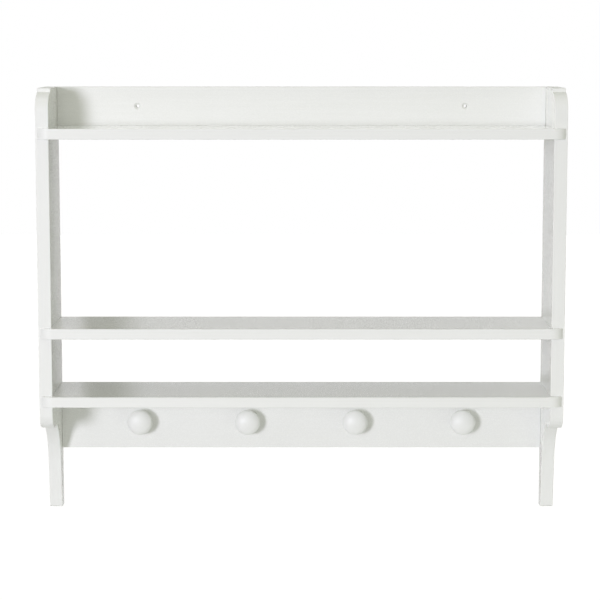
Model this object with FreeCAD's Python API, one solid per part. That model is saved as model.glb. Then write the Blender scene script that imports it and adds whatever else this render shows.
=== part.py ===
"""Wall rack: three shelves between two shaped sides, with a rail of four turned pegs below.

Lengths are in millimetres. +X runs to the viewer's right, -Y into the room and +Z up.
The origin lies midway between the two wall-screw holes, on the plane of the wall.
"""
import FreeCAD, Part
import math
import os

# Overall sizes of the boards
OVERALL_WIDTH = 800.0
SIDE_THICKNESS = 20.0
SIDE_DEPTH = 120.0
SHELF_THICKNESS = 16.0
TOP_RAIL_THICKNESS = 16.0
PEG_RAIL_THICKNESS = 10.0

# Heights from the top edge downwards
TOP_RAIL_HEIGHT = 60.0
UPPER_BAY_HEIGHT = 287.0
LOWER_BAY_HEIGHT = 89.0
PEG_RAIL_HEIGHT = 88.0
LEG_BELOW_RAIL = 94.0

# Shelf nosing: it laps over the front edges of the sides
NOSING_OVERHANG = 10.0
NOSING_CORNER_RADIUS = 20.0

# Outline of a side, from the top front corner down to the foot
TOP_CORNER_RADIUS = 28.0
TOP_STEP_HEIGHT = 6.5
TOP_STEP_BLEND_RADIUS = 1.5
LOBE_DROP = 37.0
LOBE_RADIUS = 23.0
LOBE_DEPTH = 47.5
COVE_RADIUS = 95.0
COVE_BLEND_RADIUS = 3.0
LEG_TAPER_DEGREES = 6.65
FOOT_DEPTH = 19.0
FOOT_CORNER_RADIUS = 4.0

# Eased arrises of the boards
ARRIS_RADIUS = 0.8

# Wall-screw holes in the top rail
WALL_SCREW_SPACING = 510.0
WALL_SCREW_DROP = 30.0
WALL_SCREW_HOLE = 5.0
WALL_SCREW_COUNTERSINK = 10.5

# Turned pegs
PEG_COUNT = 4
PEG_SPACING = 170.0
PEG_DROP = 44.0
PEG_DIAMETER = 39.5
PEG_PROJECTION = 28.5
PEG_WIDEST = 17.0
PEG_HEAD_BACK = 13.0
PEG_NECK_DIAMETER = 17.0
PEG_FOOT_DIAMETER = 21.0
PEG_FOOT_LENGTH = 1.2
PEG_FLARE_HOLLOW_SHARE = 0.25

# Screws that hold the pegs from behind
PEG_SCREW_DIAMETER = 4.0
PEG_SCREW_LENGTH = 30.0
PEG_SCREW_HEAD = 8.0
PEG_SCREW_TIP = 3.0
PEG_SCREW_RECESS_WIDTH = 0.9
PEG_SCREW_RECESS_DEPTH = 1.3
PEG_SCREW_RECESS_SPAN = 4.4
HEAD_SINK = 0.3
HEAD_CLEARANCE = 0.2
BORE_OVERRUN = 2.0

# Dowels in the glued joints
DOWEL_DIAMETER = 8.0
PEG_RAIL_DOWEL_DIAMETER = 6.0
DOWEL_LENGTH = 30.0
DOWEL_CHAMFER = 0.8
DOWEL_IN_FACE = 12.0
DOWEL_BACK_INSET = 32.0
DOWEL_FRONT_INSET = 28.0
DOWEL_EDGE_INSET = 14.0
DOWEL_RAIL_SPACING = 190.0
DOWEL_END_GAP = 0.5

# Radial fit of a dowel or a screw in its hole
FIT_CLEARANCE = 0.1

# How near to a plane an edge counts as lying on it
PLANE_TOLERANCE = 0.001

# Planes that several pieces share
INNER_X = OVERALL_WIDTH / 2 - SIDE_THICKNESS
TOP_Z = WALL_SCREW_DROP
TOP_SHELF_Z = TOP_Z - TOP_RAIL_HEIGHT
MIDDLE_SHELF_Z = TOP_SHELF_Z - SHELF_THICKNESS - UPPER_BAY_HEIGHT
BOTTOM_SHELF_Z = MIDDLE_SHELF_Z - SHELF_THICKNESS - LOWER_BAY_HEIGHT
PEG_RAIL_TOP_Z = BOTTOM_SHELF_Z - SHELF_THICKNESS
PEG_RAIL_BOTTOM_Z = PEG_RAIL_TOP_Z - PEG_RAIL_HEIGHT
FOOT_Z = PEG_RAIL_BOTTOM_Z - LEG_BELOW_RAIL
PEG_Z = PEG_RAIL_TOP_Z - PEG_DROP

SHELVES = {"shelf_top": TOP_SHELF_Z, "shelf_middle": MIDDLE_SHELF_Z, "shelf_bottom": BOTTOM_SHELF_Z}
SIDES = {"left": -1, "right": 1}
TOP_RAIL = {"low": TOP_SHELF_Z, "high": TOP_Z, "thickness": TOP_RAIL_THICKNESS}
PEG_RAIL = {"low": PEG_RAIL_BOTTOM_Z, "high": PEG_RAIL_TOP_Z, "thickness": PEG_RAIL_THICKNESS}

X_AXIS = FreeCAD.Vector(1, 0, 0)
Y_AXIS = FreeCAD.Vector(0, 1, 0)
Z_AXIS = FreeCAD.Vector(0, 0, 1)


def arc(centre, radius, start, end, across, up):
    """Circular edge between two angles in degrees, measured from the vector across towards up."""
    points = []
    for angle in (start, (start + end) / 2, end):
        turn = math.radians(angle)
        points.append(centre + across * (radius * math.cos(turn)) + up * (radius * math.sin(turn)))
    return Part.Arc(*points).toShape()


def line(first, second):
    return Part.makeLine(first, second)


def round_edges(shape, radius, wanted):
    """Round the edges of a shape for which wanted(edge) holds."""
    edges = [edge for edge in shape.Edges if wanted(edge)]
    return shape.makeFillet(radius, edges)


def lies_on(edge, axis, level):
    """True for an edge that lies wholly in the plane where one coordinate equals level."""
    box = edge.BoundBox
    low, high = getattr(box, axis + "Min"), getattr(box, axis + "Max")
    return abs(low - level) < PLANE_TOLERANCE and abs(high - level) < PLANE_TOLERANCE


def bore(point, direction, radius, depth):
    return Part.makeCylinder(radius, depth, point, direction)


# Dowelled joints


def dowel_sites():
    """Each dowel's name, its point on the joint, the way into the face-bored board and both boards."""
    sites = []
    shelf_rows = {"front": -SIDE_DEPTH + DOWEL_FRONT_INSET, "back": -DOWEL_BACK_INSET}
    for shelf, surface in SHELVES.items():
        for side, sign in SIDES.items():
            for row, y in shelf_rows.items():
                point = FreeCAD.Vector(sign * INNER_X, y, surface - SHELF_THICKNESS / 2)
                name = f"dowel_{shelf}_{side}_{row}"
                sites.append((name, point, X_AXIS * sign, f"side_panel_{side}", shelf))
    for rail, span in {"top_rail": TOP_RAIL, "peg_rail": PEG_RAIL}.items():
        rows = {"lower": span["low"] + DOWEL_EDGE_INSET, "upper": span["high"] - DOWEL_EDGE_INSET}
        for side, sign in SIDES.items():
            for row, z in rows.items():
                point = FreeCAD.Vector(sign * INNER_X, -span["thickness"] / 2, z)
                name = f"dowel_{rail}_{side}_{row}"
                sites.append((name, point, X_AXIS * sign, f"side_panel_{side}", rail))
    for place, step in {"left": -1, "centre": 0, "right": 1}.items():
        x = step * DOWEL_RAIL_SPACING
        top_point = FreeCAD.Vector(x, -TOP_RAIL_THICKNESS / 2, TOP_SHELF_Z)
        sites.append((f"dowel_top_rail_foot_{place}", top_point, -Z_AXIS, "shelf_top", "top_rail"))
        peg_point = FreeCAD.Vector(x, -PEG_RAIL_THICKNESS / 2, PEG_RAIL_TOP_Z)
        sites.append((f"dowel_peg_rail_head_{place}", peg_point, Z_AXIS, "shelf_bottom", "peg_rail"))
    return sites


def dowel_radius(end_board):
    """The peg rail is thinner than the other boards and takes thinner dowels."""
    return (PEG_RAIL_DOWEL_DIAMETER if end_board == "peg_rail" else DOWEL_DIAMETER) / 2


def dowel(point, direction, radius):
    """Plain dowel with chamfered ends, set DOWEL_IN_FACE deep along direction."""
    start = point - direction * (DOWEL_LENGTH - DOWEL_IN_FACE)
    pin = Part.makeCylinder(radius, DOWEL_LENGTH, start, direction)
    rims = [edge for edge in pin.Edges if edge.isClosed()]
    return pin.makeChamfer(DOWEL_CHAMFER, rims)


def bore_for_dowels(board, name):
    """Cut every dowel hole that belongs to the named board."""
    for _, point, direction, face_board, end_board in dowel_sites():
        radius = dowel_radius(end_board) + FIT_CLEARANCE
        if name == face_board:
            board = board.cut(bore(point, direction, radius, DOWEL_IN_FACE + DOWEL_END_GAP))
        if name == end_board:
            depth = DOWEL_LENGTH - DOWEL_IN_FACE + DOWEL_END_GAP
            board = board.cut(bore(point, -direction, radius, depth))
    return board


# Side panels


def side_outline():
    """Closed outline of a side in the YZ plane: stepped round at the top, lobe, cove, tapered leg.

    The top edge ends in a small step down to the quarter round of TOP_CORNER_RADIUS.
    The cove is the circle of COVE_RADIUS that passes through the back of the lobe's underside and
    touches the line of the tapered leg. With the lobe's corner taken from the foot's front corner,
    along the taper and across it, the touching point lies at
    along - sqrt(across * (2 * radius - across)) from the foot.
    """
    front_y = -SIDE_DEPTH
    lobe_z = PEG_RAIL_TOP_Z - LOBE_DROP
    top_back = FreeCAD.Vector(0, 0, TOP_Z)
    top_front = FreeCAD.Vector(0, front_y + TOP_CORNER_RADIUS, TOP_Z)
    step_foot = top_front - Z_AXIS * TOP_STEP_HEIGHT
    corner_centre = step_foot - Z_AXIS * TOP_CORNER_RADIUS
    front_top = corner_centre - Y_AXIS * TOP_CORNER_RADIUS
    front_bottom = FreeCAD.Vector(0, front_y, lobe_z + LOBE_RADIUS)
    lobe_front = FreeCAD.Vector(0, front_y + LOBE_RADIUS, lobe_z)
    lobe_back = FreeCAD.Vector(0, front_y + LOBE_DEPTH, lobe_z)
    foot_front = FreeCAD.Vector(0, -FOOT_DEPTH, FOOT_Z)
    foot_back = FreeCAD.Vector(0, 0, FOOT_Z)

    taper = math.radians(LEG_TAPER_DEGREES)
    up_leg = FreeCAD.Vector(0, -math.sin(taper), math.cos(taper))
    out_of_leg = FreeCAD.Vector(0, -math.cos(taper), -math.sin(taper))
    reach = lobe_back - foot_front
    along, across = reach.dot(up_leg), reach.dot(out_of_leg)
    touch = foot_front + up_leg * (along - math.sqrt(across * (2 * COVE_RADIUS - across)))
    cove_centre = touch + out_of_leg * COVE_RADIUS
    spoke = lobe_back - cove_centre
    cove_start = math.degrees(math.atan2(spoke.z, spoke.y))

    lobe_centre = FreeCAD.Vector(0, lobe_front.y, front_bottom.z)
    edges = [
        line(top_back, top_front),
        line(top_front, step_foot),
        arc(corner_centre, TOP_CORNER_RADIUS, 90, 180, Y_AXIS, Z_AXIS),
        line(front_top, front_bottom),
        arc(lobe_centre, LOBE_RADIUS, 180, 270, Y_AXIS, Z_AXIS),
        line(lobe_front, lobe_back),
        arc(cove_centre, COVE_RADIUS, cove_start, LEG_TAPER_DEGREES, Y_AXIS, Z_AXIS),
        line(touch, foot_front),
        line(foot_front, foot_back),
        line(foot_back, top_back),
    ]
    blends = [
        (TOP_STEP_BLEND_RADIUS, step_foot),
        (COVE_BLEND_RADIUS, lobe_back),
        (FOOT_CORNER_RADIUS, foot_front),
    ]
    return Part.Wire(edges), blends, top_front


def side_panel(side):
    """One side: the outline extruded inwards, its corners blended, its arrises eased, then bored."""
    outline, blends, top_front = side_outline()
    panel = Part.Face(outline).extrude(X_AXIS * SIDE_THICKNESS)
    left_x = INNER_X if SIDES[side] > 0 else -OVERALL_WIDTH / 2
    panel.translate(X_AXIS * left_x)

    def runs_across_at(edge, corner):
        box = edge.BoundBox
        middle = box.Center
        offset = math.hypot(middle.y - corner.y, middle.z - corner.z)
        return box.XLength > SIDE_THICKNESS / 2 and offset < ARRIS_RADIUS

    for radius, corner in blends:
        panel = round_edges(panel, radius, lambda edge: runs_across_at(edge, corner))
    faces_x = (left_x, left_x + SIDE_THICKNESS)

    def is_arris(edge):
        on_face = any(lies_on(edge, "X", x) for x in faces_x)
        return runs_across_at(edge, top_front) or on_face and not lies_on(edge, "Y", 0)

    panel = round_edges(panel, ARRIS_RADIUS, is_arris)
    return bore_for_dowels(panel, f"side_panel_{side}")


# Shelves


def shelf(name):
    """Board between the sides whose nosing laps their front edges, with rounded front corners.

    The nosing's corners are the rounded corners of a board as wide as the whole rack, cut off
    where they reach the front edges of the sides.
    """
    half_width = OVERALL_WIDTH / 2
    front_y = -SIDE_DEPTH - NOSING_OVERHANG
    top = SHELVES[name]
    centre_y = front_y + NOSING_CORNER_RADIUS
    end_angle = math.degrees(math.asin((-SIDE_DEPTH - centre_y) / NOSING_CORNER_RADIUS))
    right_centre = FreeCAD.Vector(half_width - NOSING_CORNER_RADIUS, centre_y, top)
    left_centre = FreeCAD.Vector(-right_centre.x, centre_y, top)
    right_arc = arc(right_centre, NOSING_CORNER_RADIUS, -90, end_angle, X_AXIS, Y_AXIS)
    left_arc = arc(left_centre, NOSING_CORNER_RADIUS, 180 - end_angle, 270, X_AXIS, Y_AXIS)
    points = [right_arc.Vertexes[-1].Point]
    points.append(FreeCAD.Vector(INNER_X, -SIDE_DEPTH, top))
    points.append(FreeCAD.Vector(INNER_X, 0, top))
    points.append(FreeCAD.Vector(-INNER_X, 0, top))
    points.append(FreeCAD.Vector(-INNER_X, -SIDE_DEPTH, top))
    points.append(left_arc.Vertexes[0].Point)
    body = [line(first, second) for first, second in zip(points, points[1:])]
    front = line(left_arc.Vertexes[-1].Point, right_arc.Vertexes[0].Point)
    outline = Part.Wire([right_arc] + body + [left_arc, front])
    board = Part.Face(outline).extrude(-Z_AXIS * SHELF_THICKNESS)

    def is_nosing_arris(edge):
        level = any(lies_on(edge, "Z", z) for z in (top, top - SHELF_THICKNESS))
        return level and edge.BoundBox.Center.y < -SIDE_DEPTH - ARRIS_RADIUS

    board = round_edges(board, ARRIS_RADIUS, is_nosing_arris)
    return bore_for_dowels(board, name)


# Rails


def rail_board(span):
    corner = FreeCAD.Vector(-INNER_X, -span["thickness"], span["low"])
    return Part.makeBox(2 * INNER_X, span["thickness"], span["high"] - span["low"], corner)


def countersunk_hole(mouth, direction, radius, mouth_radius, length):
    """Hole along direction from its mouth, with a 90 degree countersink there."""
    hole = Part.makeCylinder(radius, length, mouth, direction)
    flare = Part.makeCone(mouth_radius, radius, mouth_radius - radius, mouth, direction)
    return hole.fuse(flare)


def top_rail():
    """Back rail above the top shelf, with the two countersunk holes for the wall screws."""
    board = rail_board(TOP_RAIL)
    board = round_edges(board, ARRIS_RADIUS, lambda edge: (
        lies_on(edge, "Z", TOP_Z) and lies_on(edge, "Y", -TOP_RAIL_THICKNESS)))
    for sign in SIDES.values():
        mouth = FreeCAD.Vector(sign * WALL_SCREW_SPACING / 2, -TOP_RAIL_THICKNESS, 0)
        board = board.cut(countersunk_hole(
            mouth, Y_AXIS, WALL_SCREW_HOLE / 2, WALL_SCREW_COUNTERSINK / 2, TOP_RAIL_THICKNESS))
    return bore_for_dowels(board, "top_rail")


def peg_places():
    """Centre of each peg's foot on the front of the peg rail, from left to right."""
    first = -(PEG_COUNT - 1) / 2 * PEG_SPACING
    return [FreeCAD.Vector(first + i * PEG_SPACING, -PEG_RAIL_THICKNESS, PEG_Z) for i in range(PEG_COUNT)]


def peg_rail():
    """Rail under the bottom shelf, bored from behind for the peg screws."""
    board = rail_board(PEG_RAIL)
    board = round_edges(board, ARRIS_RADIUS, lambda edge: (
        lies_on(edge, "Z", PEG_RAIL_BOTTOM_Z) and lies_on(edge, "Y", -PEG_RAIL_THICKNESS)))
    for place in peg_places():
        mouth = FreeCAD.Vector(place.x, 0, place.z)
        board = board.cut(countersunk_hole(
            mouth, -Y_AXIS, PEG_SCREW_DIAMETER / 2 + FIT_CLEARANCE,
            PEG_SCREW_HEAD / 2 + HEAD_CLEARANCE + HEAD_SINK, PEG_RAIL_THICKNESS))
    return bore_for_dowels(board, "peg_rail")


# Pegs and their screws


def quarter_ellipse(centre, to_rim, to_pole):
    """Quarter of an ellipse from the rim point to the pole, as a quadratic curve with weights.

    Its control points are the rim, the corner of the two half axes and the pole, and the middle
    one weighs the square root of a half, which makes the curve an exact ellipse.
    """
    curve = Part.BezierCurve()
    curve.setPoles([centre + to_rim, centre + to_rim + to_pole, centre + to_pole])
    curve.setWeight(2, math.sqrt(0.5))
    return curve


def peg(place):
    """Turned peg: flared foot, neck and a head of two half ellipsoids, bored for its screw."""
    widest = place - Y_AXIS * PEG_WIDEST
    radius = PEG_DIAMETER / 2
    neck_radius = PEG_NECK_DIAMETER / 2
    foot_radius = PEG_FOOT_DIAMETER / 2
    neck_rise = PEG_HEAD_BACK * math.sqrt(1 - (neck_radius / radius) ** 2)
    neck_end = widest + Y_AXIS * neck_rise + X_AXIS * neck_radius
    foot_edge = place + X_AXIS * foot_radius
    foot_top = foot_edge - Y_AXIS * PEG_FOOT_LENGTH
    hollow = (foot_radius - neck_radius) * PEG_FLARE_HOLLOW_SHARE
    flare_middle = (foot_top + neck_end) / 2 - X_AXIS * hollow

    back = quarter_ellipse(widest, X_AXIS * radius, Y_AXIS * PEG_HEAD_BACK)
    back.segment(0, back.parameter(neck_end))
    front = quarter_ellipse(widest, X_AXIS * radius, -Y_AXIS * (PEG_PROJECTION - PEG_WIDEST))
    apex = place - Y_AXIS * PEG_PROJECTION
    profile = Part.Wire([
        line(place, foot_edge),
        line(foot_edge, foot_top),
        Part.Arc(foot_top, flare_middle, neck_end).toShape(),
        back.toShape(),
        front.toShape(),
        line(apex, place),
    ])
    body = Part.Face(profile).revolve(place, Y_AXIS, 360)
    depth = PEG_SCREW_LENGTH + HEAD_SINK - PEG_RAIL_THICKNESS + BORE_OVERRUN
    bore_radius = PEG_SCREW_DIAMETER / 2 + FIT_CLEARANCE
    return body.cut(bore(place, -Y_AXIS, bore_radius, depth))


def peg_screw(place):
    """Countersunk screw from behind the rail into a peg, with a pointed tip and a cross recess."""
    head_face = FreeCAD.Vector(place.x, -HEAD_SINK, place.z)
    shank_radius = PEG_SCREW_DIAMETER / 2
    head_radius = PEG_SCREW_HEAD / 2
    body_length = PEG_SCREW_LENGTH - PEG_SCREW_TIP
    shank = Part.makeCylinder(shank_radius, body_length, head_face, -Y_AXIS)
    head = Part.makeCone(head_radius, shank_radius, head_radius - shank_radius, head_face, -Y_AXIS)
    tip = Part.makeCone(shank_radius, 0, PEG_SCREW_TIP, head_face - Y_AXIS * body_length, -Y_AXIS)
    screw = shank.fuse([head, tip]).removeSplitter()
    half_span, half_width = PEG_SCREW_RECESS_SPAN / 2, PEG_SCREW_RECESS_WIDTH / 2
    for across, along in ((half_span, half_width), (half_width, half_span)):
        corner = head_face - FreeCAD.Vector(across, PEG_SCREW_RECESS_DEPTH, along)
        screw = screw.cut(Part.makeBox(2 * across, PEG_SCREW_RECESS_DEPTH, 2 * along, corner))
    return screw


def build():
    """Every piece of the rack by its name."""
    pieces = {f"side_panel_{side}": side_panel(side) for side in SIDES}
    pieces.update({name: shelf(name) for name in SHELVES})
    pieces["top_rail"] = top_rail()
    pieces["peg_rail"] = peg_rail()
    for number, place in enumerate(peg_places(), start=1):
        pieces[f"peg_{number}"] = peg(place)
        pieces[f"peg_screw_{number}"] = peg_screw(place)
    for name, point, direction, _, end_board in dowel_sites():
        pieces[name] = dowel(point, direction, dowel_radius(end_board))
    return pieces


os.makedirs("parts", exist_ok=True)
for node, shape in build().items():
    shape.exportStep(f"parts/{node}.step")
    box = shape.BoundBox
    print(f"{node}: {len(shape.Solids)} solid, valid {shape.isValid()}, {shape.Volume / 1000:.1f} cm3, "
          f"{box.XLength:.1f} x {box.YLength:.1f} x {box.ZLength:.1f}")
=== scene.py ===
"""White painted wall rack: two shaped sides, three shelves, two rails and four turned pegs.

Metres. +X runs to the viewer's right, -Y into the room and +Z up. The origin lies midway between
the two wall-screw holes, on the plane of the wall. Sections follow the rack as it is put together.
"""
import bpy
import math
import numpy as np
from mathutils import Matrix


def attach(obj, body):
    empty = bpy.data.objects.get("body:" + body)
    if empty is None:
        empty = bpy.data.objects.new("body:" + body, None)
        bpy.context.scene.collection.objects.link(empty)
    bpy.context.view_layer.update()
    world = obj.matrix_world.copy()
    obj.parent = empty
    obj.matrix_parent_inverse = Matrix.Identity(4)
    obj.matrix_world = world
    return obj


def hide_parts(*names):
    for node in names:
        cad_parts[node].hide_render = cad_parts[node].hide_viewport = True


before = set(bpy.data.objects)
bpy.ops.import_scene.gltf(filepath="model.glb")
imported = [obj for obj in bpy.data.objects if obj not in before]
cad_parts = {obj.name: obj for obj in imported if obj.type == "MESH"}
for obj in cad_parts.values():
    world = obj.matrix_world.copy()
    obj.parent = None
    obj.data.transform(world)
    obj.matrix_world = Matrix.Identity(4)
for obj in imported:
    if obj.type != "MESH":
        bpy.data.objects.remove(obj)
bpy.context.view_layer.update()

# Side panels
# Two 20 mm pine boards sawn to one outline: a small step and a quarter round at the top front
# corner, straight front, lobe under the bottom shelf, hollow cove and a leg that tapers along the
# wall. The arrises are eased with paper to a 0.8 mm round before the boards are sprayed white.

RACK_WIDTH = 0.800
SIDE_THICKNESS = 0.020
SIDE_DEPTH = 0.120
SIDE_TOP = 0.030
FOOT_LEVEL = -0.636
TOP_CORNER = 0.028
TOP_STEP = 0.0065
STEP_BLEND = 0.0015
LOBE_LEVEL = -0.491
LOBE_ROUND = 0.023
LOBE_DEPTH = 0.0475
COVE_ROUND = 0.095
COVE_BLEND = 0.003
LEG_TAPER = math.radians(6.65)
FOOT_DEPTH = 0.019
FOOT_ROUND = 0.004
INNER_X = RACK_WIDTH / 2 - SIDE_THICKNESS
EASED = 0.0008
CRISP = 0.0002
RIM = 0.0004
CRISP_RUN = 0.003
ARRIS_RINGS = 7
STRAIGHT_ON = 0.995
TRUE_CORNER = math.radians(40)

SHADE_WHITE = (0.858, 0.869, 0.836, 1)
LIGHT_WHITE = (0.880, 0.891, 0.862, 1)
RUBBED_WHITE = (0.830, 0.838, 0.798, 1)
GRAIN_SCALE = 400
GRAIN_STRETCH = 0.025
STIPPLE_SCALE = 950
DRIFT_SCALE = 5
GRAIN_SHARE = 0.55
PORE_DEPTH = 0.00004
PEBBLE_DEPTH = 0.00002
LACQUERED = 1
LACQUER_ROUGHNESS = 0.10
BOARD_ROUGHNESS = 0.32
ROUGHNESS_SPAN = 0.10
SAWN_ROUGHNESS = 0.20


def arc(centre, radius, start, end, count):
    """Points at centre + radius * (cos, sin) of angles evenly spaced from start to end degrees."""
    turn = np.radians(np.linspace(start, end, count))
    return np.asarray(centre) + radius * np.stack([np.cos(turn), np.sin(turn)], axis=1)


def eased_board(name, outline, easing_high, easing_low, thickness, middle, axes):
    """Board sawn to a closed outline, both its arrises rounded.

    Rings of points run round the outline from one face to the other. With r the easing of a side
    of the outline and a going from 0 to 90 degrees, a ring lies r * (1 - sin a) inside the
    outline and r * (1 - cos a) below the face. Where two sides meet, a point goes where the
    moved sides cross. One more ring a rim's width on lies in the face and one in the edge, so
    that both stay flat. The share of rubbing, sin 2a, is greatest half way round the arris, and
    the share of sawn edge, sin a, grows from 0 on the face to 1 on the edge.
    """
    along = np.roll(outline, -1, axis=0) - outline
    along /= np.linalg.norm(along, axis=1, keepdims=True)
    after = np.stack([-along[:, 1], along[:, 0]], axis=1)
    before = np.roll(after, 1, axis=0)
    cosine = (after * before).sum(axis=1)
    bends = cosine < STRAIGHT_ON
    span = np.where(bends, 1 - cosine ** 2, 1)
    turn = np.radians(np.linspace(0, 90, ARRIS_RINGS))

    def rings(easing):
        inset = np.outer(np.r_[1, 1 - np.sin(turn), 0], easing)
        inset[0] += RIM
        deeper = np.maximum(easing, np.roll(easing, 1))
        lift = np.outer(np.r_[0, 1 - np.cos(turn), 1], deeper)
        lift[-1] += RIM
        rub = np.outer(np.r_[0, np.sin(2 * turn), 0], deeper > CRISP)
        edge = np.outer(np.r_[0, np.sin(turn), 1], np.ones(len(easing)))
        previous = np.roll(inset, 1, axis=1)
        share_after = np.where(bends, (inset - cosine * previous) / span, inset / (1 + cosine))
        share_before = np.where(bends, (previous - cosine * inset) / span, previous / (1 + cosine))
        flat = outline + share_after[..., None] * after + share_before[..., None] * before
        return flat, lift, rub, edge

    high, high_lift, high_rub, high_edge = rings(easing_high)
    low, low_lift, low_rub, low_edge = rings(easing_low)
    flat = np.concatenate([high, low[::-1]])
    level = np.concatenate([thickness / 2 - high_lift, low_lift[::-1] - thickness / 2]) + middle
    rub = np.concatenate([high_rub, low_rub[::-1]])
    edge = np.concatenate([high_edge, low_edge[::-1]])
    points = np.empty(flat.shape[:2] + (3,))
    points[..., axes[0]] = flat[..., 0]
    points[..., axes[1]] = flat[..., 1]
    points[..., axes[2]] = level
    return closed_mesh(name, points, {"rub": rub, "edge": edge})


def closed_mesh(name, points, shares):
    """Skin over rings of points, each face turned outwards, with both ends closed by one face."""
    count, around = points.shape[:2]
    here = np.arange(count * around).reshape(count, around)
    there = np.roll(here, -1, axis=1)
    quads = np.stack([here[:-1], here[1:], there[1:], there[:-1]], axis=-1).reshape(-1, 4)
    faces = quads.tolist() + [here[0].tolist(), here[-1][::-1].tolist()]
    mesh = bpy.data.meshes.new(name)
    mesh.from_pydata(points.reshape(-1, 3).tolist(), [], faces)
    for share, values in shares.items():
        mesh.attributes.new(share, "FLOAT", "POINT").data.foreach_set("value", np.ravel(values))
    piece = bpy.data.objects.new(name, mesh)
    bpy.context.scene.collection.objects.link(piece)
    return piece


def finish_shading(piece):
    """Smooth shading that breaks at true corners and keeps every broad face flat."""
    piece.data.shade_smooth()
    piece.data.set_sharp_from_angle(angle=TRUE_CORNER)
    weighted = piece.modifiers.new("flat faces", "WEIGHTED_NORMAL")
    weighted.keep_sharp = True


def white_paint(name, lengthways, offset, lacquer, roughest):
    """White paint sprayed on pine, its colour and relief worked out in the board's length.

    Three patterns: grain that shows faintly through the paint, 2.5 mm across and forty times as
    long; the fine stipple of the dried spray, 1 mm wide; and a slow drift in tone over 200 mm.
    On the rubbed arrises the coat is thinner, so it is a shade warmer and closer. The lacquer on
    the broad faces mirrors what stands behind the board when it is seen at a low angle; it sinks
    into the sawn edges, which stay duller.
    """
    material = bpy.data.materials.new(name)
    material.use_nodes = True
    tree = material.node_tree
    nodes, links = tree.nodes, tree.links
    shader = nodes["Principled BSDF"]
    place = nodes.new("ShaderNodeTexCoord").outputs["Object"]

    run = nodes.new("ShaderNodeMapping")
    run.inputs["Location"].default_value = offset
    stretch = [1.0, 1.0, 1.0]
    stretch[lengthways] = GRAIN_STRETCH
    run.inputs["Scale"].default_value = stretch
    links.new(place, run.inputs["Vector"])
    grain = nodes.new("ShaderNodeTexNoise")
    grain.inputs["Scale"].default_value = GRAIN_SCALE
    grain.inputs["Detail"].default_value = 3
    grain.inputs["Roughness"].default_value = 0.55
    links.new(run.outputs["Vector"], grain.inputs["Vector"])

    shift = nodes.new("ShaderNodeMapping")
    shift.inputs["Location"].default_value = offset
    links.new(place, shift.inputs["Vector"])
    stipple = nodes.new("ShaderNodeTexNoise")
    stipple.inputs["Scale"].default_value = STIPPLE_SCALE
    stipple.inputs["Detail"].default_value = 2
    links.new(shift.outputs["Vector"], stipple.inputs["Vector"])
    drift = nodes.new("ShaderNodeTexNoise")
    drift.inputs["Scale"].default_value = DRIFT_SCALE
    drift.inputs["Detail"].default_value = 2
    links.new(shift.outputs["Vector"], drift.inputs["Vector"])

    tone = nodes.new("ShaderNodeMath")
    tone.operation = "MULTIPLY_ADD"
    tone.inputs[1].default_value = GRAIN_SHARE
    links.new(grain.outputs["Fac"], tone.inputs[0])
    drift_share = nodes.new("ShaderNodeMath")
    drift_share.operation = "MULTIPLY"
    drift_share.inputs[1].default_value = 1 - GRAIN_SHARE
    links.new(drift.outputs["Fac"], drift_share.inputs[0])
    links.new(drift_share.outputs[0], tone.inputs[2])
    spread = nodes.new("ShaderNodeMapRange")
    spread.inputs["From Min"].default_value = 0.35
    spread.inputs["From Max"].default_value = 0.65
    links.new(tone.outputs[0], spread.inputs["Value"])
    coat = nodes.new("ShaderNodeMix")
    coat.data_type = "RGBA"
    coat.inputs["A"].default_value = SHADE_WHITE
    coat.inputs["B"].default_value = LIGHT_WHITE
    links.new(spread.outputs["Result"], coat.inputs["Factor"])

    rubbed = nodes.new("ShaderNodeAttribute")
    rubbed.attribute_name = "rub"
    patchy = nodes.new("ShaderNodeMath")
    patchy.operation = "MULTIPLY"
    links.new(rubbed.outputs["Fac"], patchy.inputs[0])
    links.new(drift.outputs["Fac"], patchy.inputs[1])
    thin = nodes.new("ShaderNodeMix")
    thin.data_type = "RGBA"
    thin.inputs["B"].default_value = RUBBED_WHITE
    links.new(coat.outputs["Result"], thin.inputs["A"])
    links.new(patchy.outputs[0], thin.inputs["Factor"])
    links.new(thin.outputs["Result"], shader.inputs["Base Color"])

    sawn = nodes.new("ShaderNodeAttribute")
    sawn.attribute_name = "edge"
    if lacquer:
        left_on = nodes.new("ShaderNodeMath")
        left_on.operation = "MULTIPLY_ADD"
        left_on.inputs[1].default_value = -lacquer
        left_on.inputs[2].default_value = lacquer
        links.new(sawn.outputs["Fac"], left_on.inputs[0])
        links.new(left_on.outputs[0], shader.inputs["Coat Weight"])
        shader.inputs["Coat Roughness"].default_value = LACQUER_ROUGHNESS

    sheen = nodes.new("ShaderNodeMapRange")
    sheen.inputs["To Min"].default_value = roughest - ROUGHNESS_SPAN
    sheen.inputs["To Max"].default_value = roughest
    links.new(stipple.outputs["Fac"], sheen.inputs["Value"])
    dulled = nodes.new("ShaderNodeMath")
    dulled.operation = "MULTIPLY_ADD"
    dulled.inputs[1].default_value = SAWN_ROUGHNESS
    links.new(sawn.outputs["Fac"], dulled.inputs[0])
    links.new(sheen.outputs["Result"], dulled.inputs[2])
    links.new(dulled.outputs[0], shader.inputs["Roughness"])

    pores = nodes.new("ShaderNodeBump")
    pores.inputs["Distance"].default_value = PORE_DEPTH
    links.new(grain.outputs["Fac"], pores.inputs["Height"])
    pebble = nodes.new("ShaderNodeBump")
    pebble.inputs["Distance"].default_value = PEBBLE_DEPTH
    links.new(stipple.outputs["Fac"], pebble.inputs["Height"])
    links.new(pores.outputs["Normal"], pebble.inputs["Normal"])
    links.new(pebble.outputs["Normal"], shader.inputs["Normal"])
    return material


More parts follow.
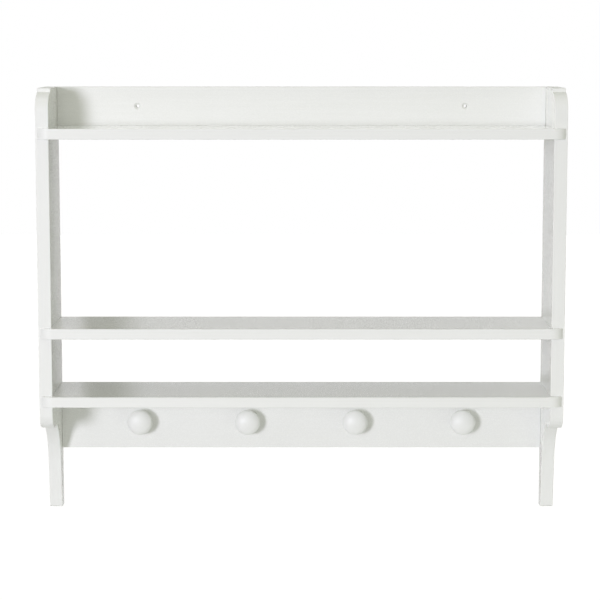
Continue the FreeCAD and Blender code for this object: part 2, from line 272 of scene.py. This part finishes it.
def side_outline():
    """Outline in the YZ plane, anticlockwise from the top at the wall, and the easing of its sides.

    At the top a step drops to a quarter round. The cove's circle touches the line of the leg and
    passes through the back of the lobe's underside. The small blend there touches the underside
    and the cove, and the foot's corner touches the leg's line and the foot.
    """
    front = -SIDE_DEPTH
    lobe_back = np.array([front + LOBE_DEPTH, LOBE_LEVEL])
    foot_front = np.array([-FOOT_DEPTH, FOOT_LEVEL])
    up_leg = np.array([-math.sin(LEG_TAPER), math.cos(LEG_TAPER)])
    out_of_leg = np.array([-math.cos(LEG_TAPER), -math.sin(LEG_TAPER)])
    reach = lobe_back - foot_front
    rise, across = reach @ up_leg, reach @ out_of_leg
    touch = foot_front + up_leg * (rise - math.sqrt(across * (2 * COVE_ROUND - across)))
    cove = touch + out_of_leg * COVE_ROUND

    blend_z = LOBE_LEVEL + COVE_BLEND
    blend_y = cove[0] + math.sqrt((COVE_ROUND + COVE_BLEND) ** 2 - (blend_z - cove[1]) ** 2)
    blend = np.array([blend_y, blend_z])
    lean = math.degrees(math.atan2(blend_z - cove[1], blend_y - cove[0]))
    foot_z = FOOT_LEVEL + FOOT_ROUND
    foot_y = foot_front[0] + (FOOT_ROUND - (foot_z - FOOT_LEVEL) * math.sin(LEG_TAPER)) / math.cos(LEG_TAPER)
    foot = np.array([foot_y, foot_z])
    taper = math.degrees(LEG_TAPER)

    step_y = front + TOP_CORNER
    round_z = SIDE_TOP - TOP_STEP - TOP_CORNER
    touch_turn = math.asin(STEP_BLEND / (TOP_CORNER + STEP_BLEND))
    step_z = round_z + (TOP_CORNER + STEP_BLEND) * math.cos(touch_turn)
    clear = math.degrees(touch_turn)
    exposed = np.concatenate([
        [[0, SIDE_TOP]],
        arc((step_y + 2 * EASED, SIDE_TOP - 2 * EASED), 2 * EASED, 90, 180, 8),
        arc((step_y - STEP_BLEND, step_z), STEP_BLEND, 0, clear - 90, 6),
        arc((step_y, round_z), TOP_CORNER, 90 + clear, 180, 24)[1:],
        arc((front + LOBE_ROUND, LOBE_LEVEL + LOBE_ROUND), LOBE_ROUND, 180, 270, 18),
        arc(blend, COVE_BLEND, 270, 180 + lean + 180, 8),
        arc(cove, COVE_ROUND, lean, taper, 36)[1:],
        arc(foot, FOOT_ROUND, 180 + taper, 270, 8),
    ])
    wall = np.array([[0, FOOT_LEVEL], [0, FOOT_LEVEL + CRISP_RUN], [0, SIDE_TOP - CRISP_RUN]])
    easing = np.r_[np.full(len(exposed), EASED), np.full(len(wall), CRISP)]
    return np.concatenate([exposed, wall]), easing


outline, easing = side_outline()
for side, sign in (("left", -1), ("right", 1)):
    centre_x = sign * (RACK_WIDTH - SIDE_THICKNESS) / 2
    panel = eased_board(f"painted_side_{side}", outline, easing, easing, SIDE_THICKNESS, centre_x, (1, 2, 0))
    finish_shading(panel)
    panel.data.materials.append(white_paint(
        f"white_paint_side_{side}", 2, (sign * 0.31, 0.17, 0.05), LACQUERED, BOARD_ROUGHNESS))
    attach(panel, "root")
    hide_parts(f"side_panel_{side}")

# Shelves
# Three 16 mm boards dowelled between the sides. Each nosing stands 10 mm proud of the sides and
# laps over their front edges, with its corners rounded and its arrises eased.

SHELF_THICKNESS = 0.016
NOSING = 0.010
NOSING_CORNER = 0.020
NOSE_RUN = 0.002
CORNER_RUN = 0.001
SHELF_TOPS = {"top": -0.030, "middle": -0.333, "bottom": -0.438}

corner_y = -SIDE_DEPTH - NOSING + NOSING_CORNER
corner_x = RACK_WIDTH / 2 - NOSING_CORNER
stop = math.degrees(math.asin((-SIDE_DEPTH - corner_y) / NOSING_CORNER))
right_nose = arc((corner_x, corner_y), NOSING_CORNER, -90, stop, 20)
left_nose = right_nose[::-1] * (-1, 1)
right_body = np.array([
    [right_nose[-1, 0] - NOSE_RUN, -SIDE_DEPTH], [INNER_X + CORNER_RUN, -SIDE_DEPTH],
    [INNER_X, -SIDE_DEPTH], [INNER_X, -SIDE_DEPTH + CORNER_RUN], [INNER_X, 0]])
left_body = right_body[::-1] * (-1, 1)
outline = np.concatenate([right_nose, right_body, left_body, left_nose])
easing = np.full(len(outline), EASED)
easing[len(right_nose) - 1:len(outline) - len(left_nose)] = CRISP
for number, (name, top) in enumerate(SHELF_TOPS.items()):
    middle = top - SHELF_THICKNESS / 2
    shelf = eased_board(f"painted_shelf_{name}", outline, easing, easing, SHELF_THICKNESS, middle, (0, 1, 2))
    finish_shading(shelf)
    shelf.data.materials.append(white_paint(
        f"white_paint_shelf_{name}", 0, (0.4 * number, 0.23 * number, 0.1), LACQUERED, BOARD_ROUGHNESS))
    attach(shelf, "root")
    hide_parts(f"shelf_{name}")

# Rails
# Two boards flush with the back. The upper one, 16 mm thick, stands on the top shelf and has two
# countersunk holes for the wall screws; the lower one, 10 mm thick, hangs under the bottom shelf and
# is bored for the pegs' screws. Their front arrises are eased where they are free and at the ends.

RAILS = {"top_rail": (-0.030, 0.030, 0.016), "peg_rail": (-0.542, -0.454, 0.010)}
WALL_HOLE_X = (-0.255, 0.255)
WALL_HOLE = 0.0025
WALL_COUNTERSINK = 0.00525
PEG_X = (-0.255, -0.085, 0.085, 0.255)
PEG_Z = -0.498
SCREW_HOLE = 0.0021
SCREW_COUNTERSINK = 0.0045
END_EASED = 0.0006
EASE_RUN = 0.002
BORE_SIDES = 48
BORE_OVERRUN = 0.003
BORE_REACH = 0.020
BORE_TIP = 0.00001


def turned(name, profile, place, into_room, around, shares=None):
    """Shape turned about an axis along Y through place.

    The profile gives (radius, distance from place); point k of n on a ring stands at the angle
    2 pi k / n. The first and the last ring shrink to the axis and are closed by one small face.
    """
    angle = np.linspace(0, 2 * math.pi, around, endpoint=False)
    radius, reach = np.asarray(profile).T
    points = np.empty((len(radius), around, 3))
    points[..., 0] = place[0] + np.outer(radius, np.cos(angle))
    points[..., 2] = place[2] - into_room * np.outer(radius, np.sin(angle))
    points[..., 1] = place[1] - into_room * reach[:, None]
    return closed_mesh(name, points, shares or {})


def bore_out(board, places, hole, countersink, mouth_y, inwards):
    """Cut a 90 degree countersink and the hole behind it at each place, from mouth_y inwards."""
    for x, z in places:
        profile = [
            (BORE_TIP, -BORE_OVERRUN), (countersink + BORE_OVERRUN, -BORE_OVERRUN),
            (hole, countersink - hole), (hole, BORE_REACH), (BORE_TIP, BORE_REACH)]
        cutter = turned("cutter", profile, (x, mouth_y, z), -inwards, BORE_SIDES)
        cut = board.modifiers.new("bore", "BOOLEAN")
        cut.operation = "DIFFERENCE"
        cut.solver = "EXACT"
        cut.object = cutter
        shape = bpy.data.meshes.new_from_object(
            board.evaluated_get(bpy.context.evaluated_depsgraph_get()))
        board.modifiers.clear()
        board.data = shape
        bpy.data.objects.remove(cutter)


for number, (name, (low, high, thickness)) in enumerate(RAILS.items()):
    outline = np.array([
        [low, -INNER_X], [high, -INNER_X], [high, -INNER_X + EASE_RUN], [high, INNER_X - EASE_RUN],
        [high, INNER_X], [low, INNER_X], [low, INNER_X - EASE_RUN], [low, -INNER_X + EASE_RUN]])
    crisp = np.full(len(outline), CRISP)
    eased = crisp.copy()
    eased[1:4] = EASED if name == "top_rail" else CRISP
    eased[5:8] = EASED if name == "peg_rail" else CRISP
    eased[[0, 4]] = END_EASED
    rail = eased_board(f"painted_{name}", outline, crisp, eased, thickness, -thickness / 2, (2, 0, 1))
    if name == "top_rail":
        bore_out(rail, [(x, 0) for x in WALL_HOLE_X], WALL_HOLE, WALL_COUNTERSINK, -thickness, 1)
    else:
        bore_out(rail, [(x, PEG_Z) for x in PEG_X], SCREW_HOLE, SCREW_COUNTERSINK, 0, -1)
    finish_shading(rail)
    rail.data.materials.clear()
    rail.data.materials.append(white_paint(
        f"white_paint_{name}", 0, (0.6, 0.1 + 0.3 * number, 0.7), LACQUERED, BOARD_ROUGHNESS))
    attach(rail, "root")
    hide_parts(name)

# Dowels
# Beech pins 30 mm long with chamfered ends, glued into the boards at every joint: 6 mm thick in
# the peg rail and 8 mm in the other boards.


def beech(name, lengthways):
    """Bare beech: pinkish straw colour, fine flecks along the pin, matt."""
    material = bpy.data.materials.new(name)
    material.use_nodes = True
    nodes, links = material.node_tree.nodes, material.node_tree.links
    shader = nodes["Principled BSDF"]
    run = nodes.new("ShaderNodeMapping")
    stretch = [1.0, 1.0, 1.0]
    stretch[lengthways] = 0.06
    run.inputs["Scale"].default_value = stretch
    links.new(nodes.new("ShaderNodeTexCoord").outputs["Object"], run.inputs["Vector"])
    fleck = nodes.new("ShaderNodeTexNoise")
    fleck.inputs["Scale"].default_value = 2200
    fleck.inputs["Detail"].default_value = 4
    links.new(run.outputs["Vector"], fleck.inputs["Vector"])
    tone = nodes.new("ShaderNodeValToRGB")
    tone.color_ramp.elements[0].position = 0.35
    tone.color_ramp.elements[0].color = (0.42, 0.235, 0.115, 1)
    tone.color_ramp.elements[1].position = 0.62
    tone.color_ramp.elements[1].color = (0.62, 0.40, 0.22, 1)
    links.new(fleck.outputs["Fac"], tone.inputs["Fac"])
    links.new(tone.outputs["Color"], shader.inputs["Base Color"])
    dry = nodes.new("ShaderNodeMapRange")
    dry.inputs["To Min"].default_value = 0.62
    dry.inputs["To Max"].default_value = 0.78
    links.new(fleck.outputs["Fac"], dry.inputs["Value"])
    links.new(dry.outputs["Result"], shader.inputs["Roughness"])
    fibre = nodes.new("ShaderNodeBump")
    fibre.inputs["Distance"].default_value = 0.00005
    links.new(fleck.outputs["Fac"], fibre.inputs["Height"])
    links.new(fibre.outputs["Normal"], shader.inputs["Normal"])
    return material


level_beech = beech("beech_level", 0)
upright_beech = beech("beech_upright", 2)
for name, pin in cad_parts.items():
    if name.startswith("dowel_"):
        stands = name.startswith(("dowel_top_rail_foot", "dowel_peg_rail_head"))
        pin.material_slots[0].material = upright_beech if stands else level_beech

# Pegs
# Four beech pegs turned on a lathe and painted with the boards: a flared foot against the rail,
# a short neck and a flattened ball head. Each is bored from behind for its screw.

PEG_FACE = -0.010
PEG_RADIUS = 0.01975
PEG_PROJECTION = 0.0285
PEG_WIDEST = 0.017
PEG_HEAD_BACK = 0.013
PEG_NECK = 0.0085
PEG_FOOT = 0.0105
PEG_FOOT_LENGTH = 0.0012
PEG_HOLLOW = 0.25
PEG_BORE_DEPTH = 0.0223
PEG_RIM = 0.0003
PEG_SIDES = 96
CLOSING_RING = 0.00002
PEG_ROUGHNESS = 0.46
LATHE_RINGS = 1400
LATHE_DEPTH = 0.00002


def peg_profile():
    """(radius, distance from the rail) from the bottom of the bore round the foot to the crown.

    The head is two half ellipses, radius R cos t and distance W +/- H sin t from the rail, and
    the flare between foot and neck is the circle through its two ends and a middle point set in
    by a quarter of the step between foot and neck.
    """
    rise = PEG_HEAD_BACK * math.sqrt(1 - (PEG_NECK / PEG_RADIUS) ** 2)
    foot = np.array([PEG_FOOT, PEG_FOOT_LENGTH])
    neck = np.array([PEG_NECK, PEG_WIDEST - rise])
    chord = neck - foot
    bulge = (PEG_FOOT - PEG_NECK) * PEG_HOLLOW
    share = np.linspace(0, 1, 10)[:, None]
    flare = foot + share * chord + np.array([-1, 0]) * bulge * 4 * share * (1 - share)
    lowest = math.asin(rise / PEG_HEAD_BACK)
    back = np.linspace(-lowest, 0, 16)[1:-1]
    front = np.linspace(0, math.pi / 2, 40)[:-1]
    head_back = np.stack([PEG_RADIUS * np.cos(back), PEG_WIDEST + PEG_HEAD_BACK * np.sin(back)], axis=1)
    head_front = np.stack(
        [PEG_RADIUS * np.cos(front), PEG_WIDEST + (PEG_PROJECTION - PEG_WIDEST) * np.sin(front)], axis=1)
    bore = [(CLOSING_RING, PEG_BORE_DEPTH), (SCREW_HOLE, PEG_BORE_DEPTH), (SCREW_HOLE, 0)]
    rim = [(PEG_FOOT - PEG_RIM, 0), (PEG_FOOT - PEG_RIM / 3, PEG_RIM / 3), (PEG_FOOT, PEG_RIM)]
    crown = [(CLOSING_RING, PEG_PROJECTION)]
    return np.concatenate([bore, rim, flare, head_back, head_front, crown])


def peg_paint(name, offset):
    """The boards' white on turned beech, without lacquer, with faint rings left by the lathe."""
    material = white_paint(name, 1, offset, 0, PEG_ROUGHNESS)
    nodes, links = material.node_tree.nodes, material.node_tree.links
    shader = nodes["Principled BSDF"]
    reach = nodes.new("ShaderNodeAttribute")
    reach.attribute_name = "reach"
    ring = nodes.new("ShaderNodeTexNoise")
    ring.noise_dimensions = "1D"
    ring.inputs["Scale"].default_value = LATHE_RINGS
    ring.inputs["Detail"].default_value = 2
    links.new(reach.outputs["Fac"], ring.inputs["W"])
    turned_rings = nodes.new("ShaderNodeBump")
    turned_rings.inputs["Distance"].default_value = LATHE_DEPTH
    links.new(ring.outputs["Fac"], turned_rings.inputs["Height"])
    links.new(shader.inputs["Normal"].links[0].from_socket, turned_rings.inputs["Normal"])
    links.new(turned_rings.outputs["Normal"], shader.inputs["Normal"])
    return material


profile = peg_profile()
walk = np.r_[0, np.cumsum(np.linalg.norm(np.diff(profile, axis=0), axis=1))]
for number, x in enumerate(PEG_X, start=1):
    reach = np.repeat(walk[:, None], PEG_SIDES, axis=1)
    peg = turned(f"turned_peg_{number}", profile, (x, PEG_FACE, PEG_Z), 1, PEG_SIDES, {"reach": reach})
    finish_shading(peg)
    peg.data.materials.append(peg_paint(f"white_paint_peg_{number}", (0.11 * number, 0.2, 0.3 * number)))
    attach(peg, "root")
    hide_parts(f"peg_{number}")

# Screws of the pegs
# Countersunk 4 x 30 mm wood screws of zinc-plated steel, driven from behind the rail.

zinc = bpy.data.materials.new("zinc_plate")
zinc.use_nodes = True
nodes, links = zinc.node_tree.nodes, zinc.node_tree.links
shader = nodes["Principled BSDF"]
shader.inputs["Metallic"].default_value = 1
spangle = nodes.new("ShaderNodeTexNoise")
spangle.inputs["Scale"].default_value = 1500
spangle.inputs["Detail"].default_value = 3
links.new(nodes.new("ShaderNodeTexCoord").outputs["Object"], spangle.inputs["Vector"])
tint = nodes.new("ShaderNodeValToRGB")
tint.color_ramp.elements[0].color = (0.50, 0.51, 0.54, 1)
tint.color_ramp.elements[1].color = (0.72, 0.73, 0.74, 1)
links.new(spangle.outputs["Fac"], tint.inputs["Fac"])
links.new(tint.outputs["Color"], shader.inputs["Base Color"])
dull = nodes.new("ShaderNodeMapRange")
dull.inputs["To Min"].default_value = 0.28
dull.inputs["To Max"].default_value = 0.5
links.new(spangle.outputs["Fac"], dull.inputs["Value"])
links.new(dull.outputs["Result"], shader.inputs["Roughness"])
pit = nodes.new("ShaderNodeBump")
pit.inputs["Distance"].default_value = 0.00002
links.new(spangle.outputs["Fac"], pit.inputs["Height"])
links.new(pit.outputs["Normal"], shader.inputs["Normal"])
for number in range(1, len(PEG_X) + 1):
    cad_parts[f"peg_screw_{number}"].material_slots[0].material = zinc

# Room, light and camera
# A bright plain studio: pale floor 1.66 m below the feet, white all round, and a white wall 95 mm
# behind the rack that the camera can't see. A key lamp stands to the left, weak ones below and low
# down to the right, and the light from all round is strongest from above.

FLOOR_LEVEL = -2.3
FLOOR_REACH = 20
FLOOR_GREY = (0.25, 0.25, 0.245, 1)
FLOOR_SEEN = 0.86
FLOOR_MIRRORED = 0.55
WALL_DISTANCE = 0.095
WALL_REACH = 3
WALL_TOP = 2
WALL_WHITE = (0.74, 0.74, 0.725, 1)
MATT = 0.9
WHITE = (1, 1, 1, 1)
ROUND_LIGHT = 0.385
ROUND_TINT = (1.0, 1.01, 0.89, 1)
ROUND_LEAN = (0.06, 0.02, 0.35)
CAMERA_LENS = 110.99
CAMERA_SHIFT = -0.08
CAMERA_PLACE = (-0.0022, -2.9, 0.100)
CAMERA_PITCH = math.radians(6.494)

floor_mesh = bpy.data.meshes.new("studio_floor")
floor_mesh.from_pydata([
    (-FLOOR_REACH, -FLOOR_REACH, FLOOR_LEVEL), (FLOOR_REACH, -FLOOR_REACH, FLOOR_LEVEL),
    (FLOOR_REACH, FLOOR_REACH, FLOOR_LEVEL), (-FLOOR_REACH, FLOOR_REACH, FLOOR_LEVEL)], [], [(0, 1, 2, 3)])
floor = bpy.data.objects.new("studio_floor", floor_mesh)
bpy.context.scene.collection.objects.link(floor)
floor_paint = bpy.data.materials.new("floor_paint")
floor_paint.use_nodes = True
nodes, links = floor_paint.node_tree.nodes, floor_paint.node_tree.links
shader = nodes["Principled BSDF"]
shader.inputs["Base Color"].default_value = FLOOR_GREY
shader.inputs["Roughness"].default_value = MATT
shader.inputs["Emission Color"].default_value = WHITE
rays = nodes.new("ShaderNodeLightPath")
mirrored = nodes.new("ShaderNodeMath")
mirrored.operation = "MULTIPLY"
mirrored.inputs[1].default_value = FLOOR_MIRRORED
links.new(rays.outputs["Is Glossy Ray"], mirrored.inputs[0])
glow = nodes.new("ShaderNodeMath")
glow.operation = "MULTIPLY_ADD"
glow.inputs[1].default_value = FLOOR_SEEN
links.new(rays.outputs["Is Camera Ray"], glow.inputs[0])
links.new(mirrored.outputs[0], glow.inputs[2])
links.new(glow.outputs[0], shader.inputs["Emission Strength"])
floor_mesh.materials.append(floor_paint)

backdrop_mesh = bpy.data.meshes.new("studio_wall")
backdrop_mesh.from_pydata([
    (-WALL_REACH, WALL_DISTANCE, FLOOR_LEVEL), (WALL_REACH, WALL_DISTANCE, FLOOR_LEVEL),
    (WALL_REACH, WALL_DISTANCE, WALL_TOP), (-WALL_REACH, WALL_DISTANCE, WALL_TOP)], [], [(0, 1, 2, 3)])
backdrop = bpy.data.objects.new("studio_wall", backdrop_mesh)
bpy.context.scene.collection.objects.link(backdrop)
wall_paint = bpy.data.materials.new("wall_paint")
wall_paint.use_nodes = True
nodes, links = wall_paint.node_tree.nodes, wall_paint.node_tree.links
shader = nodes["Principled BSDF"]
shader.inputs["Base Color"].default_value = WALL_WHITE
shader.inputs["Roughness"].default_value = MATT
passed = nodes.new("ShaderNodeMixShader")
links.new(nodes.new("ShaderNodeLightPath").outputs["Is Camera Ray"], passed.inputs[0])
links.new(shader.outputs[0], passed.inputs[1])
links.new(nodes.new("ShaderNodeBsdfTransparent").outputs[0], passed.inputs[2])
links.new(passed.outputs[0], nodes["Material Output"].inputs["Surface"])
backdrop_mesh.materials.append(wall_paint)

world = bpy.data.worlds.new("studio")
bpy.context.scene.world = world
world.use_nodes = True
nodes, links = world.node_tree.nodes, world.node_tree.links
rays = nodes.new("ShaderNodeLightPath")
seen = nodes.new("ShaderNodeMath")
seen.operation = "MAXIMUM"
links.new(rays.outputs["Is Camera Ray"], seen.inputs[0])
links.new(rays.outputs["Is Glossy Ray"], seen.inputs[1])
also = nodes.new("ShaderNodeMath")
also.operation = "MAXIMUM"
links.new(seen.outputs[0], also.inputs[0])
links.new(rays.outputs["Is Transmission Ray"], also.inputs[1])
white = nodes.new("ShaderNodeBackground")
white.inputs["Color"].default_value = WHITE
white.inputs["Strength"].default_value = 1
soft = nodes.new("ShaderNodeBackground")
soft.inputs["Color"].default_value = ROUND_TINT
bearing = nodes.new("ShaderNodeVectorMath")
bearing.operation = "DOT_PRODUCT"
bearing.inputs[1].default_value = ROUND_LEAN
links.new(nodes.new("ShaderNodeTexCoord").outputs["Generated"], bearing.inputs[0])
dome = nodes.new("ShaderNodeMath")
dome.operation = "ADD"
dome.inputs[1].default_value = ROUND_LIGHT
links.new(bearing.outputs["Value"], dome.inputs[0])
links.new(dome.outputs[0], soft.inputs["Strength"])
choice = nodes.new("ShaderNodeMixShader")
links.new(also.outputs[0], choice.inputs[0])
links.new(soft.outputs[0], choice.inputs[1])
links.new(white.outputs[0], choice.inputs[2])
links.new(choice.outputs[0], nodes["World Output"].inputs["Surface"])


def studio_lamp(name, shape, width, height, power, tint, place, target):
    """Area lamp at place, turned about X and then Z so that it faces target."""
    lamp = bpy.data.lights.new(name, "AREA")
    lamp.shape = shape
    lamp.size = width
    lamp.size_y = height
    lamp.energy = power
    lamp.color = tint
    stand = bpy.data.objects.new(name, lamp)
    stand.location = place
    aim = np.array(target) - np.array(place)
    stand.rotation_euler = (math.atan2(math.hypot(aim[0], aim[1]), -aim[2]), 0, math.atan2(-aim[0], aim[1]))
    bpy.context.scene.collection.objects.link(stand)


studio_lamp("key", "DISK", width=1.6, height=1.6, power=218, tint=(1.0, 0.98, 1.10),
            place=(-3.12, -6.0, 0.24), target=(0, 0, -0.3))
studio_lamp("fill", "RECTANGLE", width=2, height=1, power=4.0, tint=(1.0, 1.02, 0.95),
            place=(0.2, -0.6, -1.7), target=(0.2, -0.6, 0))
studio_lamp("bounce", "RECTANGLE", width=1.6, height=1.2, power=14.6, tint=(1.0, 1.02, 0.95),
            place=(2.6, -2.4, -1.9), target=(0, 0, -0.45))

camera = bpy.data.cameras.new("camera")
camera.sensor_width = 36
camera.lens = CAMERA_LENS
camera.shift_y = CAMERA_SHIFT
eye = bpy.data.objects.new("camera", camera)
eye.location = CAMERA_PLACE
eye.rotation_euler = (math.radians(90) - CAMERA_PITCH, 0, 0)
bpy.context.scene.collection.objects.link(eye)
bpy.context.scene.camera = eye
bpy.context.scene.view_settings.view_transform = "Standard"

bpy.context.view_layer.update()
